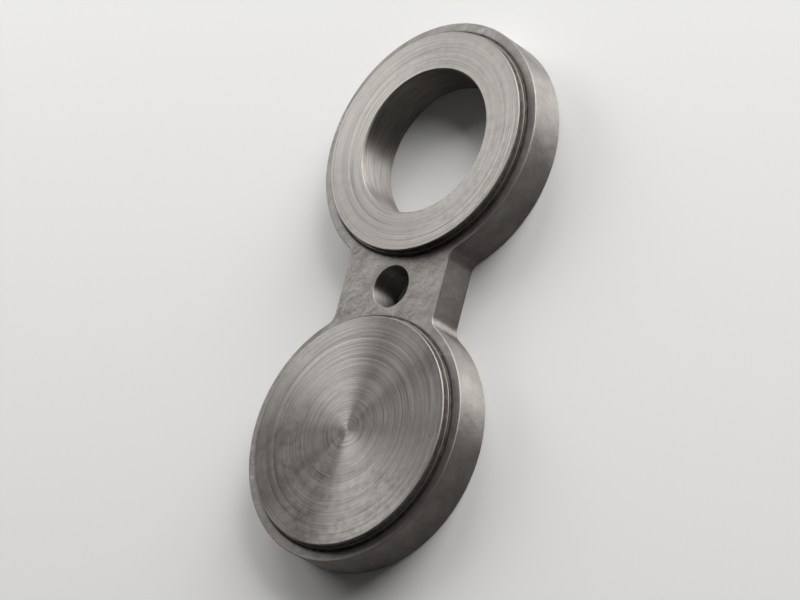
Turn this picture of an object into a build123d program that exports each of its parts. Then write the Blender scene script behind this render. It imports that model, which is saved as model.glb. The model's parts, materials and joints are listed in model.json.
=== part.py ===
"""Spectacle blind (figure-eight line blank) for a 2 inch pipe flange joint.

One piece of steel: a solid disc and an open ring of the same diameter, joined
by a short web with a handling hole. The back is flat. Each disc's front face
is turned to leave a raised gasket face with a stepped, coved foot.

Millimetres. The blank lies on its back, so +Z is the way the raised faces look
and z = 0 is the surface that it lies on. +X runs from the solid disc to the
ring. The origin is the middle of the web, at the back face.
"""

import os

from build123d import *

# Plate
disc_diameter = 104.0       # solid disc and ring alike
disc_spacing = 120.5        # from the solid disc's axis to the ring's
plate_thickness = 15.8
web_width = 50.6
web_fillet = 5.8            # where the web's sides run into the discs
edge_chamfer = 0.5          # all round the outline, front and back

# Holes
bore_diameter = 60.8        # the ring's flow bore
bore_chamfer = 0.6
hole_diameter = 17.5        # clears one M16 flange stud
hole_chamfer = 0.4

# Raised gasket faces
face_diameter = 93.2
face_height = 3.6
rim_chamfer = 0.45
ledge_width = 0.6           # the narrow step part-way down the rim's wall
cove_radius = 1.1           # the hollow between the ledge and the plate

solid_x = -disc_spacing / 2
ring_x = disc_spacing / 2
front = plate_thickness
face_top = plate_thickness + face_height


def plate():
    """The figure-eight plate, its web blended into the discs, its edges broken."""
    discs = [Pos(x, 0) * Circle(disc_diameter / 2) for x in (solid_x, ring_x)]
    outline = Rectangle(disc_spacing, web_width) + discs
    web_corners = outline.vertices().sort_by(lambda corner: abs(corner.X))[:4]
    outline = fillet(web_corners, web_fillet)
    body = extrude(outline, plate_thickness)
    return chamfer(body.faces().filter_by(Axis.Z).edges(), edge_chamfer)


def raised_face(axis_x):
    """A turned gasket face: chamfered rim, straight wall, ledge and cove, revolved."""
    rim = face_diameter / 2
    ledge_edge = rim + ledge_width
    foot = ledge_edge + cove_radius
    ledge_top = front + cove_radius
    root = front - cove_radius
    with BuildPart() as face:
        with BuildSketch(Plane.XZ):
            with BuildLine():
                Line((0, root), (0, face_top))
                Line((0, face_top), (rim - rim_chamfer, face_top))
                Line((rim - rim_chamfer, face_top), (rim, face_top - rim_chamfer))
                Line((rim, face_top - rim_chamfer), (rim, ledge_top))
                Line((rim, ledge_top), (ledge_edge, ledge_top))
                RadiusArc((ledge_edge, ledge_top), (foot, front), -cove_radius)
                Line((foot, front), (foot, root))
                Line((foot, root), (0, root))
            make_face()
        revolve(axis=Axis.Z)
    return Pos(axis_x, 0, 0) * face.part


def drilling(axis_x, diameter, top, break_edge):
    """The cutter for a through hole from z = 0 to top, with both mouths chamfered."""
    radius = diameter / 2
    mouth = radius + break_edge
    clear = plate_thickness
    with BuildPart() as cutter:
        with BuildSketch(Plane.XZ):
            Polygon(
                (0, -clear),
                (mouth, -clear),
                (mouth, 0),
                (radius, break_edge),
                (radius, top - break_edge),
                (mouth, top),
                (mouth, top + clear),
                (0, top + clear),
                align=None,
            )
        revolve(axis=Axis.Z)
    return Pos(axis_x, 0, 0) * cutter.part


blank = plate() + raised_face(solid_x) + raised_face(ring_x)
blank -= drilling(ring_x, bore_diameter, face_top, bore_chamfer)
blank -= drilling(0, hole_diameter, front, hole_chamfer)

os.makedirs("parts", exist_ok=True)
export_step(blank, "parts/figure_eight_blank.step")
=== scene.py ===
"""Spectacle blind: a figure-eight line blank lying on its flat back, looked down on."""

import json
from math import acos, atan2, pi, radians, sqrt, tan

import bpy
import numpy as np
from mathutils import Euler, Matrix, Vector
from mathutils.geometry import tessellate_polygon


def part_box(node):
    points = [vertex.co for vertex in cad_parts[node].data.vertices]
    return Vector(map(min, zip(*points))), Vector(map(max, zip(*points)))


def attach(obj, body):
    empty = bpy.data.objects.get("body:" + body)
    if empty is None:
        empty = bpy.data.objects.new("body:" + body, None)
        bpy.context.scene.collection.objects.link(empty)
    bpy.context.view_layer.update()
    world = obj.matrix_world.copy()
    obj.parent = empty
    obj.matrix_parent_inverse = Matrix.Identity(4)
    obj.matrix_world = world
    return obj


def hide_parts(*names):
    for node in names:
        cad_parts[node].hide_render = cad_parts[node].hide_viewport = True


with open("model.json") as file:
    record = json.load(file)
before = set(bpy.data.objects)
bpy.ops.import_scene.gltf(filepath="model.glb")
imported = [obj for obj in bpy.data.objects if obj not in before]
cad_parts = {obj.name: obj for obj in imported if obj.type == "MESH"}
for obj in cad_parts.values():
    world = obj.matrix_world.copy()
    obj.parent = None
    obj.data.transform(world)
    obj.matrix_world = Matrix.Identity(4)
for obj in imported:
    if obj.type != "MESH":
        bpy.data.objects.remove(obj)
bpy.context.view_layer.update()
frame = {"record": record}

# ---------------------------------------------------------------------------
# Camera. A long lens that looks down on the lying blank at about 45 degrees,
# rolled so that the ring is above and the solid disc below.
# ---------------------------------------------------------------------------

view_azimuth = radians(-21.353)
view_elevation = radians(45.149)
view_roll = radians(-59.766)
view_range = 1.36875
aim = Vector((-0.0012, 0.00457, 0.0038))

camera_data = bpy.data.cameras.new("camera")
camera_data.lens = 156.85
camera_data.sensor_width = 36.0
camera_data.clip_start = 0.05
camera = bpy.data.objects.new("camera", camera_data)
turn = (
    Euler((0, 0, view_azimuth)).to_matrix()
    @ Euler((pi / 2 - view_elevation, 0, 0)).to_matrix()
    @ Euler((0, 0, view_roll)).to_matrix()
)
camera.rotation_euler = turn.to_euler()
camera.location = aim + view_range * turn.col[2]
bpy.context.collection.objects.link(camera)
bpy.context.scene.camera = camera

# ---------------------------------------------------------------------------
# The blank. One piece of carbon steel: the figure-eight outline is cut from
# thick plate and its edges broken, the two gasket faces are turned one after
# the other on a lathe, and the bore and the stud hole are machined through.
# ---------------------------------------------------------------------------

mm = 0.001
_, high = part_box("figure_eight_blank")
mounts = {mount["name"]: mount for mount in frame["record"]["mounts"]}
ring_x = mounts["flow_bore"]["pos_m"][0]
disc_radius = high[0] - ring_x
face_top = high[2]
bore_radius = mounts["flow_bore"]["dims"]["r_mm"] * mm
hole_radius = mounts["handling_hole"]["dims"]["r_mm"] * mm

plate_top = 15.8 * mm
half_web = 25.3 * mm
web_fillet = 5.8 * mm
edge_break = 0.32 * mm
face_radius = 46.6 * mm
rim_break = 0.34 * mm
ledge = 0.6 * mm
cove = 1.1 * mm
ledge_lip = 0.25 * cove
bore_break = 0.5 * mm
hole_break = 0.2 * mm
softened = 0.1 * mm
around = 180

BRIGHT_TURNED, DULL_TURNED, PLATE, SIDE, BORED, EDGE, STEP, GROOVE = range(8)


def rounded(corners, steps=3):
    """A profile whose corners, each (out, up, radius, finish), have rounding arcs.

    An arc starts its radius times the tangent of half the turn before the corner,
    and its points are the arc's middle plus the radius along the turning normal.
    Rows hold out, up, normal out and normal up; normals lie left of the way taken.
    A corner's finish covers its arc and the run after it.
    """
    places = np.array([corner[:2] for corner in corners], float)
    ways = np.diff(places, axis=0)
    ways /= np.linalg.norm(ways, axis=1)[:, None]
    left = np.column_stack((-ways[:, 1], ways[:, 0]))
    rows = [np.hstack((places[0], left[0]))]
    finishes = [corners[0][3]]
    for at in range(1, len(corners) - 1):
        radius, finish = corners[at][2:]
        turning = left[at - 1] @ ways[at]
        angle = acos(np.clip(ways[at - 1] @ ways[at], -1, 1))
        start = places[at] - ways[at - 1] * radius * tan(angle / 2)
        middle = start + left[at - 1] * radius * np.sign(turning)
        part = angle * np.linspace(0, 1, steps + 1)[:, None]
        normals = left[at - 1] * np.cos(part) - ways[at - 1] * np.sin(part) * np.sign(turning)
        rows.append(np.hstack((middle - normals * radius * np.sign(turning), normals)))
        finishes += [finish] * (steps + 1)
    rows.append(np.hstack((places[-1], left[-1])))
    return np.vstack(rows), finishes


patches = []


def carry(base, out, profile, finishes):
    """Carries a profile once round a closed path and keeps it as a patch of quads.

    Point = base + out x the profile's offset, at the profile's height, for every
    path point and every profile row. The normals turn with the path.
    """
    offset, up, normal_out, normal_up = profile.T
    points = np.empty((len(base), len(profile), 3))
    points[..., :2] = base[:, None] + out[:, None] * offset[:, None]
    points[..., 2] = up
    normals = np.empty_like(points)
    normals[..., :2] = out[:, None] * normal_out[:, None]
    normals[..., 2] = normal_up
    keep_grid(points, normals, finishes)
    return points


def keep_grid(points, normals, finishes):
    """Keeps a grid that closes on itself along its first direction, as quads."""
    here = np.arange(points[..., 0].size).reshape(points.shape[:2])
    there = np.roll(here, -1, axis=0)
    quads = np.stack((here[:, :-1], there[:, :-1], there[:, 1:], here[:, 1:]), axis=-1)
    finishes = np.broadcast_to(finishes, (len(here), here.shape[1] - 1)).ravel()
    patches.append(
        (points.reshape(-1, 3), normals.reshape(-1, 3), quads.reshape(-1, 4), finishes)
    )


def keep_flat(loops, height, way_up, finish):
    """Keeps the flat region between its first loop and the loops inside that."""
    outlines = [[Vector((x, y, 0)) for x, y in loop[:, :2]] for loop in loops]
    triangles = np.array([tuple(corners) for corners in tessellate_polygon(outlines)])
    points = np.vstack(loops)
    points[:, 2] = height
    normals = np.tile((0.0, 0.0, way_up), (len(points), 1))
    quads = np.column_stack((triangles, triangles[:, -1]))
    patches.append((points, normals, quads, np.full(len(quads), finish)))


def circle(centre_x, count):
    """A circle's middle, repeated, and its unit directions."""
    angle = np.arange(count) * 2 * pi / count
    return np.tile((centre_x, 0.0), (count, 1)), np.column_stack((np.cos(angle), np.sin(angle)))


def figure_eight():
    """The plate's outline and its outward directions, once round from +X.

    A quarter is an arc about the ring's middle, the hollow arc of the web's
    fillet, and half of the web's straight side. The others mirror it.
    """
    disc_steps, fillet_steps, web_steps = 128, 15, 7
    apart, rise = disc_radius + web_fillet, half_web + web_fillet
    fillet_x = ring_x - sqrt(apart**2 - rise**2)
    meeting = atan2(rise, fillet_x - ring_x)
    on_disc = np.linspace(0, meeting, disc_steps, endpoint=False)
    on_fillet = np.linspace(meeting + pi, 1.5 * pi, fillet_steps, endpoint=False)
    on_web = np.linspace(fillet_x, 0, web_steps)
    disc_out = np.column_stack((np.cos(on_disc), np.sin(on_disc)))
    inward = np.column_stack((np.cos(on_fillet), np.sin(on_fillet)))
    web_at = np.column_stack((on_web, np.full(web_steps, half_web)))
    at = np.vstack((
        (ring_x, 0) + disc_radius * disc_out,
        (fillet_x, rise) + web_fillet * inward,
        web_at,
    ))
    out = np.vstack((disc_out, -inward, np.tile((0.0, 1.0), (web_steps, 1))))
    at = np.vstack((at, at[-2::-1] * (-1, 1)))
    out = np.vstack((out, out[-2::-1] * (-1, 1)))
    return np.vstack((at, at[-2:0:-1] * (1, -1))), np.vstack((out, out[-2:0:-1] * (1, -1)))


def turning_marks(radius, angle, seed):
    """How far a turned face dips below its plane, in metres.

    The tool's feed leaves a spiral of shallow scallops, the square of a sine of
    half a turn per feed plus the angle. Under it lie narrow bell-shaped scores,
    which swell and fade round the circle.
    """
    random = np.random.default_rng(seed)
    feed, scallop_depth, score_depth = 0.95 * mm, 0.0035 * mm, 0.014 * mm
    dip = scallop_depth * np.sin(pi * radius / feed + angle / 2) ** 2
    for score in range(70):
        place = random.uniform(0.8, 46.0) * mm
        width = random.uniform(0.16, 0.3) * mm
        depth = random.uniform(0.15, 1.0) ** 2 * score_depth
        swell = 0.55 + 0.45 * np.cos(angle * random.integers(1, 4) + random.uniform(0, 2 * pi))
        dip = dip + depth * swell * np.exp(-(((radius - place) / width) ** 2))
    return dip


def turned_face(centre_x, inner, outer, pitch, height, way_up, seed, finish):
    """A flat turned face from an outer radius to an inner one, or to its middle.

    A polar grid with a row every pitch, lowered by its turning marks, which die
    out towards its edges. Its normals lean by the marks' slope along the radius.
    """
    base, out = circle(centre_x, around)
    radius = np.linspace(outer, inner, int((outer - inner) / pitch))
    angle = np.arange(around)[:, None] * 2 * pi / around
    fade = np.clip((outer - radius) / mm, 0, 1) * np.clip((radius - inner) / mm, 0, 1)
    dip = turning_marks(radius, angle, seed) * fade
    slope = np.gradient(dip, radius, axis=1)
    points = np.empty((around, len(radius), 3))
    points[..., :2] = base[:, None] + out[:, None] * radius[:, None]
    points[..., 2] = height - way_up * dip
    normals = np.dstack((out[:, None] * slope[..., None], np.full_like(dip, way_up)))
    keep_grid(points, normals, finish)
    return points


outline_at, outline_out = figure_eight()
sides = carry(outline_at, outline_out, *rounded([
    (-edge_break - softened, plate_top, 0, EDGE),
    (-edge_break, plate_top, softened, EDGE),
    (0, plate_top - edge_break, softened, SIDE),
    (0, edge_break, softened, EDGE),
    (-edge_break, 0, softened, EDGE),
    (-edge_break - softened, 0, 0, EDGE),
]))


def through_hole(centre_x, radius, top, mouth, count):
    """A round hole's wall with a chamfer at each end, from the back to the front."""
    wide = radius + mouth
    return carry(*circle(centre_x, count), *rounded([
        (wide + softened, 0, 0, EDGE),
        (wide, 0, softened, EDGE),
        (radius, mouth, softened, BORED),
        (radius, top - mouth, softened, EDGE),
        (wide, top, softened, EDGE),
        (wide + softened, top, 0, EDGE),
    ]))


bore = through_hole(ring_x, bore_radius, face_top, bore_break, around)
hole = through_hole(0, hole_radius, plate_top, hole_break, 72)
bore_mouth = bore_radius + bore_break + softened
rim_profile = rounded([
    (face_radius - rim_break - softened, face_top, 0, EDGE),
    (face_radius - rim_break, face_top, softened, EDGE),
    (face_radius, face_top - rim_break, softened, STEP),
    (face_radius, plate_top + cove, softened, STEP),
    (face_radius + ledge, plate_top + cove, ledge_lip, EDGE),
    (face_radius + ledge, plate_top, cove - ledge_lip, GROOVE),
    (face_radius + ledge + cove, plate_top, 0, PLATE),
])
face_edge = face_radius - rim_break - softened
front_pitch, back_pitch = 0.21 * mm, 1.6 * mm
front_loops, back_loops = [sides[:, 0], hole[:, -1]], [sides[:, -1], hole[:, 0]]
for centre_x, inner, seed, finish in (
    (ring_x, bore_mouth, 5, BRIGHT_TURNED),
    (-ring_x, 0, 8, DULL_TURNED),
):
    rim = carry(*circle(centre_x, around), *rim_profile)
    turned_face(centre_x, inner, face_edge, front_pitch, face_top, 1, seed, finish)
    back = turned_face(centre_x, inner, face_radius, back_pitch, 0, -1, seed + 20, finish)
    front_loops.append(rim[:, -1])
    back_loops.append(back[:, 0])
keep_flat(front_loops, plate_top, 1, PLATE)
keep_flat(back_loops, 0, -1, PLATE)


def closed_mesh(name):
    """One closed mesh of all the kept patches.

    Points that coincide to a tenth of a micrometre become one, a quad that loses
    a corner that way becomes a triangle, and a face that looks against its
    corners' normals is turned over. Shading uses the patches' own normals.
    """
    points = np.vstack([patch[0] for patch in patches])
    normals = np.vstack([patch[1] for patch in patches])
    starts = np.cumsum([0] + [len(patch[0]) for patch in patches[:-1]])
    quads = np.vstack([patch[2] + start for patch, start in zip(patches, starts)])
    finishes = np.concatenate([patch[3] for patch in patches])
    merged_per_metre = 1e7
    keys = np.round(points * merged_per_metre).astype(np.int64)
    _, first, merged = np.unique(keys, axis=0, return_index=True, return_inverse=True)
    merged = merged.ravel()
    summed = np.zeros((len(first), 3))
    np.add.at(summed, merged, normals)
    points, quads = points[first], merged[quads]
    corners = points[quads]
    facing = np.cross(corners[:, 2] - corners[:, 0], corners[:, 3] - corners[:, 1])
    against = np.einsum("ij,ij->i", facing, summed[quads].sum(1)) < 0
    quads[against] = quads[against][:, ::-1]
    stays = quads != np.roll(quads, 1, axis=1)
    sound = stays.sum(1) >= 3
    quads, stays, finishes = quads[sound], stays[sound], finishes[sound]
    sizes = stays.sum(1)
    mesh = bpy.data.meshes.new(name)
    mesh.vertices.add(len(points))
    mesh.vertices.foreach_set("co", points.ravel())
    mesh.loops.add(sizes.sum())
    mesh.loops.foreach_set("vertex_index", quads[stays])
    mesh.polygons.add(len(sizes))
    mesh.polygons.foreach_set("loop_start", np.cumsum(sizes) - sizes)
    mesh.polygons.foreach_set("material_index", finishes)
    mesh.polygons.foreach_set("use_smooth", np.ones(len(sizes), bool))
    mesh.update(calc_edges=True)
    mesh.validate()
    summed /= np.linalg.norm(summed, axis=1)[:, None]
    mesh.normals_split_custom_set_from_vertices(summed)
    return mesh


blank = bpy.data.objects.new("blank", closed_mesh("blank"))
bpy.context.collection.objects.link(blank)
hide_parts("figure_eight_blank")
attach(blank, "root")

# ---------------------------------------------------------------------------
# The finishes of the one piece of steel: turned gasket faces, a finely blasted
# plate and sides, bored walls, edges broken with a file, and the steps and
# grooves round the raised faces, whose dark colour is painted shade, blotched
# with oil and dust; the plate also has painted shade near their feet.
# ---------------------------------------------------------------------------


def new_finish(name, colour, roughness, anisotropic=0.0):
    """A bare metal's material, its shader and its node tree."""
    material = bpy.data.materials.new(name)
    material.use_nodes = True
    tree = material.node_tree
    shader = tree.nodes["Principled BSDF"]
    shader.inputs["Base Color"].default_value = (*colour, 1)
    shader.inputs["Metallic"].default_value = 1.0
    shader.inputs["Roughness"].default_value = roughness
    shader.inputs["Anisotropic"].default_value = anisotropic
    return material, shader, tree


def put(tree, kind, *inputs, output=0, **settings):
    """Adds a node, sets its properties, and fills its inputs in order.

    An input that is None keeps its default, a socket is linked and any other
    value is set. The wanted output comes back.
    """
    node = tree.nodes.new(kind)
    for name, value in settings.items():
        setattr(node, name, value)
    for socket, value in zip(node.inputs, inputs):
        if isinstance(value, bpy.types.NodeSocket):
            tree.links.new(value, socket)
        elif value is not None:
            socket.default_value = value
    return node.outputs[output]


def maths(tree, operation, *inputs):
    """The result of one arithmetic node."""
    return put(tree, "ShaderNodeMath", *inputs, operation=operation)


def noise(tree, place, scale, detail=2.0, roughness=0.5):
    """Fractal noise at a place, between 0 and 1, about 0.5."""
    return put(tree, "ShaderNodeTexNoise", place, None, scale, detail, roughness)


def spread(tree, value, low, high, into_low, into_high):
    """A value's range mapped into another, held at its ends."""
    return put(tree, "ShaderNodeMapRange", value, low, high, into_low, into_high)


def blend(tree, factor, first, second):
    """A mix of two colours."""
    node = tree.nodes.new("ShaderNodeMix")
    node.data_type = "RGBA"
    tree.links.new(factor, node.inputs["Factor"])
    for socket, value in ((node.inputs["A"], first), (node.inputs["B"], second)):
        if isinstance(value, bpy.types.NodeSocket):
            tree.links.new(value, socket)
        else:
            socket.default_value = (*value, 1)
    return node.outputs["Result"]


def bumped(tree, shader, height, distance):
    """Lets a height, in units of distance in metres, tilt the surface."""
    node = tree.nodes.new("ShaderNodeBump")
    node.inputs["Distance"].default_value = distance
    tree.links.new(height, node.inputs["Height"])
    tree.links.new(node.outputs["Normal"], shader.inputs["Normal"])


def place_of(tree):
    """Where a point lies on the piece, in metres."""
    return put(tree, "ShaderNodeTexCoord", output=3)


def between(tree, pattern, first, second):
    """A colour from first to second, as a noise runs through its usual range."""
    return blend(tree, spread(tree, pattern, 0.36, 0.64, 0.0, 1.0), first, second)


def from_the_axis(tree):
    """The radius in metres about the nearer disc's axis, the outward unit
    direction, and the height in metres.
    """
    apart = tree.nodes.new("ShaderNodeSeparateXYZ")
    tree.links.new(place_of(tree), apart.inputs[0])
    x, y, z = apart.outputs
    axis_x = maths(tree, "MULTIPLY", maths(tree, "SIGN", x), ring_x)
    arm = put(tree, "ShaderNodeCombineXYZ", maths(tree, "SUBTRACT", x, axis_x), y, 0.0)
    radius = put(tree, "ShaderNodeVectorMath", arm, output=1, operation="LENGTH")
    outward = put(tree, "ShaderNodeVectorMath", arm, operation="NORMALIZE")
    return radius, outward, z


def turned_finish(name, bright, dull, grime, grimy, roughness, anisotropic):
    """Steel as a lathe tool leaves it: fine rings, broader bands and dark scores.

    The gloss stretches across the grooves, so light fans out from the middle.
    The noise behind the rings runs with the radius, and drifts a little round
    the axis. Grime in small spots gathers in patches, up to the share grimy.
    """
    material, shader, tree = new_finish(name, bright, roughness, anisotropic)
    radius, outward, z = from_the_axis(tree)
    tree.links.new(outward, shader.inputs["Tangent"])
    along = put(tree, "ShaderNodeCombineXYZ", 0.0, 0.0, maths(tree, "ADD", radius, z))
    drift = put(tree, "ShaderNodeVectorMath", outward, (0.4 * mm,) * 3, operation="MULTIPLY")
    rows = put(tree, "ShaderNodeVectorMath", drift, along, operation="ADD")
    rings = noise(tree, rows, 1500.0, 3.0, 0.65)
    bands = noise(tree, rows, 520.0, 1.0, 0.5)
    scores = noise(tree, rows, 1900.0, 0.0, 0.5)
    marks = maths(
        tree,
        "ADD",
        spread(tree, rings, 0.36, 0.64, 0.0, 0.72),
        spread(tree, bands, 0.36, 0.64, 0.0, 0.28),
    )
    ringed = blend(tree, marks, dull, bright)
    scored = blend(tree, spread(tree, scores, 0.66, 0.74, 0.0, 0.5), ringed, grime)
    spots = noise(tree, place_of(tree), 330.0, 3.0, 0.5)
    patchy = noise(tree, place_of(tree), 24.0, 2.0, 0.5)
    share = maths(
        tree,
        "MULTIPLY",
        spread(tree, spots, 0.42, 0.72, 0.0, 1.0),
        spread(tree, patchy, 0.42, 0.62, 0.15 * grimy, grimy),
    )
    tree.links.new(blend(tree, share, scored, grime), shader.inputs["Base Color"])
    roughnesses = spread(tree, bands, 0.3, 0.7, roughness - 0.02, roughness + 0.02)
    tree.links.new(roughnesses, shader.inputs["Roughness"])
    bumped(tree, shader, marks, 0.03 * mm)
    return material


bright_turned = turned_finish(
    "bright_turned",
    bright=(0.38, 0.36, 0.335),
    dull=(0.285, 0.268, 0.248),
    grime=(0.18, 0.167, 0.154),
    grimy=0.35,
    roughness=0.42,
    anisotropic=0.5,
)
dull_turned = turned_finish(
    "dull_turned",
    bright=(0.36, 0.34, 0.316),
    dull=(0.25, 0.234, 0.217),
    grime=(0.14, 0.129, 0.117),
    grimy=0.6,
    roughness=0.36,
    anisotropic=0.92,
)


def blasted_finish(name, tone, roughness, anisotropic, size, relief):
    """Plate under a blasted skin: fine pits, and cloudy patches of the scale's tone.

    Tone scales its colours, size is the pits' count per metre and relief their
    depth in metres. Near the raised faces' feet the steel is darkened with
    painted shade, standing for the shadow under their rims.
    """
    pale, drab, pit, foot_shade = np.outer(
        (0.28, 0.205, 0.125, 0.1), np.array((1.0, 0.938, 0.88)) * tone
    ).tolist()
    material, shader, tree = new_finish(name, pale, roughness, anisotropic)
    grain = noise(tree, place_of(tree), size, 3.0, 0.6)
    mottled = between(tree, noise(tree, place_of(tree), 95.0, 4.0, 0.6), drab, pale)
    pitted = blend(tree, spread(tree, grain, 0.48, 0.7, 0.0, 0.3), mottled, pit)
    radius, _, _ = from_the_axis(tree)
    # Painted shade: the plate darkens towards the raised faces' feet, for the shadow under
    # their rims.
    foot_shade_share = spread(tree, radius, face_radius + 1.5 * mm, face_radius + 2.7 * mm, 0.5, 0.0)
    tree.links.new(blend(tree, foot_shade_share, pitted, foot_shade), shader.inputs["Base Color"])
    waves = noise(tree, place_of(tree), 260.0, 1.0, 0.5)
    bumped(tree, shader, maths(tree, "ADD", grain, maths(tree, "MULTIPLY", waves, 2.0)), relief)
    return material, shader, tree


def stretch_upwards(tree, shader):
    """Stretches the gloss up a wall, across marks that run round the piece."""
    upright = put(tree, "ShaderNodeCombineXYZ", 0.0, 0.0, 1.0)
    tree.links.new(upright, shader.inputs["Tangent"])


blasted, _, _ = blasted_finish("blasted_plate", 0.97, 0.52, 0.0, 1300.0, 0.1 * mm)
side, shader, tree = blasted_finish("blasted_side", 1.0, 0.56, 0.9, 1200.0, 0.07 * mm)
stretch_upwards(tree, shader)

bored, shader, tree = new_finish("bored_wall", (0.33, 0.311, 0.291), 0.55, 0.95)
stretch_upwards(tree, shader)
flattened = (0.04, 0.04, 1.0)
rows = put(tree, "ShaderNodeVectorMath", place_of(tree), flattened, operation="MULTIPLY")
streaks = noise(tree, rows, 2000.0, 3.0, 0.6)
streaked = between(tree, streaks, (0.215, 0.201, 0.185), (0.335, 0.317, 0.296))
tree.links.new(streaked, shader.inputs["Base Color"])
bumped(tree, shader, streaks, 0.01 * mm)

broken, shader, tree = new_finish("broken_edge", (0.24, 0.227, 0.211), 0.56)
nicks = noise(tree, place_of(tree), 500.0, 3.0, 0.6)
tree.links.new(spread(tree, nicks, 0.3, 0.7, 0.5, 0.62), shader.inputs["Roughness"])
bumped(tree, shader, nicks, 0.008 * mm)


def shaded_oily_finish(name, dark, light, roughness, size):
    """Dark steel whose colour is painted shade, with blotches of old oil and dust whose count
    per metre is size.
    """
    material, shader, tree = new_finish(name, light, roughness)
    blotches = noise(tree, place_of(tree), size, 3.0, 0.6)
    tree.links.new(between(tree, blotches, dark, light), shader.inputs["Base Color"])
    return material


# Painted shade: the step's dark steel stands for the shade on the walls under the raised faces'
# rims; its blotches stand for oil.
shaded_step = shaded_oily_finish("oiled_shaded_step", (0.12, 0.109, 0.099), (0.2, 0.186, 0.172), 0.5, 300.0)
# Painted shade: the groove's near-black steel stands for the shade in the coves at the raised
# faces' feet, with blotches of oil and dust.
shaded_groove = shaded_oily_finish("oily_shaded_groove", (0.045, 0.038, 0.033), (0.085, 0.074, 0.065), 0.62, 240.0)

for material in (bright_turned, dull_turned, blasted, side, bored, broken, shaded_step, shaded_groove):
    blank.data.materials.append(material)

# ---------------------------------------------------------------------------
# The floor that the blank lies on: a plain pale sheet, far wider than the view.
# ---------------------------------------------------------------------------

reach = 6.0
floor_mesh = bpy.data.meshes.new("floor")
floor_mesh.from_pydata(
    [(-reach, -reach, 0), (reach, -reach, 0), (reach, reach, 0), (-reach, reach, 0)],
    [],
    [(0, 1, 2, 3)],
)
floor = bpy.data.objects.new("floor", floor_mesh)
bpy.context.collection.objects.link(floor)
floor_finish = bpy.data.materials.new("pale_floor")
floor_finish.use_nodes = True
floor_shader = floor_finish.node_tree.nodes["Principled BSDF"]
floor_shader.inputs["Base Color"].default_value = (0.8, 0.795, 0.785, 1)
floor_shader.inputs["Roughness"].default_value = 0.9
floor_shader.inputs["Specular IOR Level"].default_value = 0.1
floor_mesh.materials.append(floor_finish)

# ---------------------------------------------------------------------------
# Light: four soft lamps, all low and beyond the ring's end, in a dim room with a
# pale horizon. The key is for the side walls, the crown for the plate, and the
# rake and the spark for the fans of light on the turned faces.
# ---------------------------------------------------------------------------


def lamp(name, azimuth, elevation, irradiance, width=1.1):
    """A square soft lamp aimed at the blank, from a direction in degrees.

    Its power is pi times the distance squared times the light wanted at the blank.
    """
    distance = 2.0
    data = bpy.data.lights.new(name, "AREA")
    data.size = width
    data.energy = pi * distance**2 * irradiance
    light = bpy.data.objects.new(name, data)
    outward = Vector((1, 0, 0))
    outward.rotate(Euler((0, -radians(elevation), 0)))
    outward.rotate(Euler((0, 0, radians(azimuth))))
    light.location = outward * distance
    light.rotation_euler = outward.to_track_quat("Z", "Y").to_euler()
    bpy.context.collection.objects.link(light)


lamp("key", -34, 23, 4.7, width=1.6)
lamp("crown", 20, 30, 1.4)
lamp("rake", 62, 22, 1.15)
lamp("spark", 61, 20, 0.5, width=0.6)

world = bpy.data.worlds.new("room")
world.use_nodes = True
tree = world.node_tree
up = tree.nodes.new("ShaderNodeSeparateXYZ")
tree.links.new(put(tree, "ShaderNodeTexCoord", output=0), up.inputs[0])
level_light = spread(tree, up.outputs[2], 0.02, 0.1, 0.7, 0.06)
background = tree.nodes["Background"]
background.inputs["Color"].default_value = (1.0, 0.99, 0.975, 1)
tree.links.new(level_light, background.inputs["Strength"])
bpy.context.scene.world = world
bpy.context.scene.view_settings.view_transform = "Standard"
